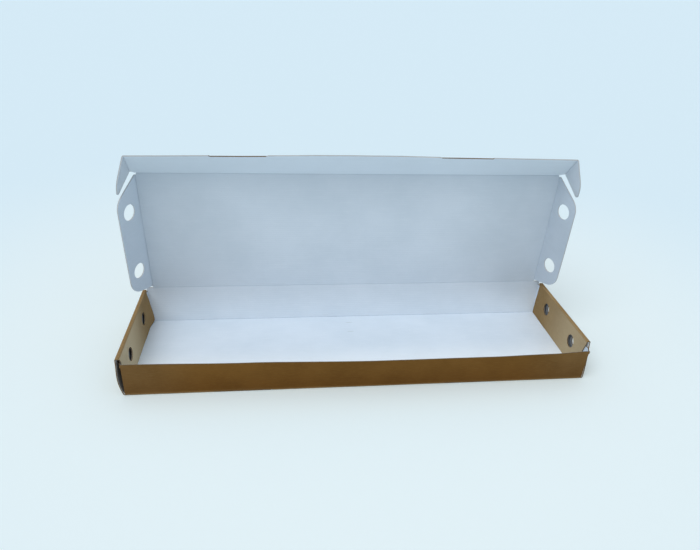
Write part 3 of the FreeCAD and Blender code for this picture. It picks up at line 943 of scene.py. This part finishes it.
def inner_point(fold, a, b, toward):
    """The point on the white face at (a, b), at one end of a bending strip."""
    small = 0.03
    to_a = fold(a + small, b) - fold(a - small, b)
    to_b = fold(a, b + small) - fold(a, b - small)
    normal = to_a.cross(to_b).normalized()
    if normal.dot(toward) < 0:
        normal = -normal
    return (fold(a, b) + normal * HALF) * 0.001


def straight_crease(name, v, half):
    """A strip along the box that bends between two panels of the main sheet, and its two inner points."""
    ring = box_ring(-half, half, v - JOIN, v + JOIN)
    lines = fold_stations((v,), CREASE_SPREAD, 6)
    strip = build(name, [cut_board(ring, [], even(-300, 300), lines, main_sheet, plain)])
    start = inner_point(main_sheet, 0.0, v - JOIN, LID_INWARD)
    end = inner_point(main_sheet, 0.0, v + JOIN, LID_INWARD)
    return strip, start, end


def side_crease(name, side, ring, lines, fold, chart, middle):
    """A strip at one side that bends between a panel and its flap or ear, and its two inner points."""
    outward = fold_stations((0.0,), CREASE_SPREAD, 6)
    strip = build(name, [cut_board(ring, [], outward, lines, fold, chart)])
    start = inner_point(fold, -JOIN, middle, LID_INWARD)
    end = inner_point(fold, JOIN, middle, LID_INWARD - Vector((side, 0, 0)))
    return strip, start, end


def creases():
    """The scored strips that bend between two panels."""
    strip, start, end = straight_crease("lid_crease", LID_V, LID_JOIN_HALF)
    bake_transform(strip)
    strip, start, end = straight_crease("front_flap_crease", FLAP_V, FLAP_JOIN_HALF)
    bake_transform(strip)
    for side, word in SIDES.items():
        rear = END_REAR_START + JOIN * END_REAR_SLOPE
        front = LID_DEPTH - 1.5 - JOIN * END_FRONT_SLOPE[side]
        lid_end = LID_DEPTH - LID_EDGE_INSET
        ring = [(-JOIN, END_REAR_START), (0.0, END_REAR_START), (JOIN, rear)]
        ring += [(JOIN, front), (0.0, lid_end), (-JOIN, lid_end)]
        chart = lid_end_chart(side)
        name = "end_flap_crease_" + word
        strip, start, end = side_crease(name, side, ring, lid_lines(), end_flap(side), chart, 90.0)
        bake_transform(strip)
        ring = box_ring(-JOIN, JOIN, 0.6, EAR_RUN)
        chart = lambda a, b, side=side: ear_chart(side, a, b)
        name = "front_ear_crease_" + word
        lines = even(0, EAR_RUN, 5.0)
        strip, start, end = side_crease(name, side, ring, lines, front_ear(side), chart, 20.0)
        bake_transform(strip)


tray = build("tray_board", tray_parts())
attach(tray, "tray")
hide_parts("tray")
for name, piece in moving_panels().items():
    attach(piece, name)
    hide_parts(name)
creases()


# Stage: a pale floor with painted light, soft light and the photograph's camera


def stage_floor():
    mesh = bpy.data.meshes.new("studio_floor")
    size = 40.0
    corners = [(x, y, 0) for x, y in box_ring(-size, size, -size, size)]
    mesh.from_pydata(corners, [], [(0, 1, 2, 3)])
    made, tree = material("studio_floor")
    # Painted light: the floor is paler near the box and bluer further out.
    point = put(tree, "ShaderNodeTexCoord").outputs["Object"]
    away = put(tree, "ShaderNodeVectorMath", {0: point}, operation="LENGTH").outputs["Value"]
    colour = mix(tree, band(tree, away, 0.25, 1.1), (0.85, 0.965, 1.0, 1), (0.74, 0.90, 0.995, 1))
    inputs = {"Base Color": colour, "Roughness": 0.9, "Specular IOR Level": 0.1}
    shader = put(tree, "ShaderNodeBsdfPrincipled", inputs)
    put(tree, "ShaderNodeOutputMaterial", {0: shader.outputs[0]})
    mesh.materials.append(made)
    floor = bpy.data.objects.new("studio_floor", mesh)
    floor.location.z = -0.0004
    bpy.context.scene.collection.objects.link(floor)


def light_world():
    world = bpy.data.worlds.new("studio_light")
    bpy.context.scene.world = world
    world.use_nodes = True
    tree = world.node_tree
    tree.nodes.clear()
    path = put(tree, "ShaderNodeLightPath")
    seen = math_node(tree, "MAXIMUM", path.outputs["Is Camera Ray"], path.outputs["Is Glossy Ray"])
    seen = math_node(tree, "MAXIMUM", seen, path.outputs["Is Transmission Ray"])
    light = put(tree, "ShaderNodeBackground", {"Color": (0.95, 0.98, 1.0, 1), "Strength": 0.52})
    backdrop = put(tree, "ShaderNodeBackground", {"Color": (0.73, 0.87, 0.98, 1), "Strength": 1.0})
    both = put(tree, "ShaderNodeMixShader", {0: seen, 1: light.outputs[0], 2: backdrop.outputs[0]})
    put(tree, "ShaderNodeOutputWorld", {0: both.outputs[0]})


def sun(name, strength, spread, direction):
    lamp = bpy.data.lights.new(name, "SUN")
    lamp.energy = strength
    lamp.angle = math.radians(spread)
    made = bpy.data.objects.new(name, lamp)
    made.rotation_mode = "QUATERNION"
    made.rotation_quaternion = Vector(direction).to_track_quat("-Z", "Y")
    bpy.context.scene.collection.objects.link(made)


def aim_camera():
    """The photograph's camera, worked out from the corners of the box in it."""
    place = Vector((-0.10081, -0.74199, 0.48802))
    yaw = math.radians(-8.35)
    pitch = math.radians(28.04)
    roll = math.radians(2.87)
    focal_pixels = 621.14
    middle_x = 364.52
    middle_y = 293.81
    wide = 700
    high = 550
    ahead = Vector((-math.sin(yaw) * math.cos(pitch), math.cos(yaw) * math.cos(pitch), -math.sin(pitch)))
    right = Vector((math.cos(yaw), math.sin(yaw), 0))
    up = right.cross(ahead)
    turned = right * math.cos(roll) + up * math.sin(roll)
    upright = up * math.cos(roll) - right * math.sin(roll)
    data = bpy.data.cameras.new("photo_camera")
    data.sensor_width = 36.0
    data.lens = focal_pixels / wide * data.sensor_width
    data.shift_x = (wide / 2 - middle_x) / wide
    data.shift_y = (middle_y - high / 2) / wide
    data.clip_end = 200.0
    camera = bpy.data.objects.new("photo_camera", data)
    matrix = camera.matrix_world.copy()
    for i in range(3):
        matrix[i][0] = turned[i]
        matrix[i][1] = upright[i]
        matrix[i][2] = -ahead[i]
        matrix[i][3] = place[i]
    camera.matrix_world = matrix
    bpy.context.scene.collection.objects.link(camera)
    bpy.context.scene.camera = camera


stage_floor()
light_world()
sun("key_light", 1.55, 50, (0.35, 0.55, -0.95))
aim_camera()
bpy.context.scene.view_settings.view_transform = "Standard"
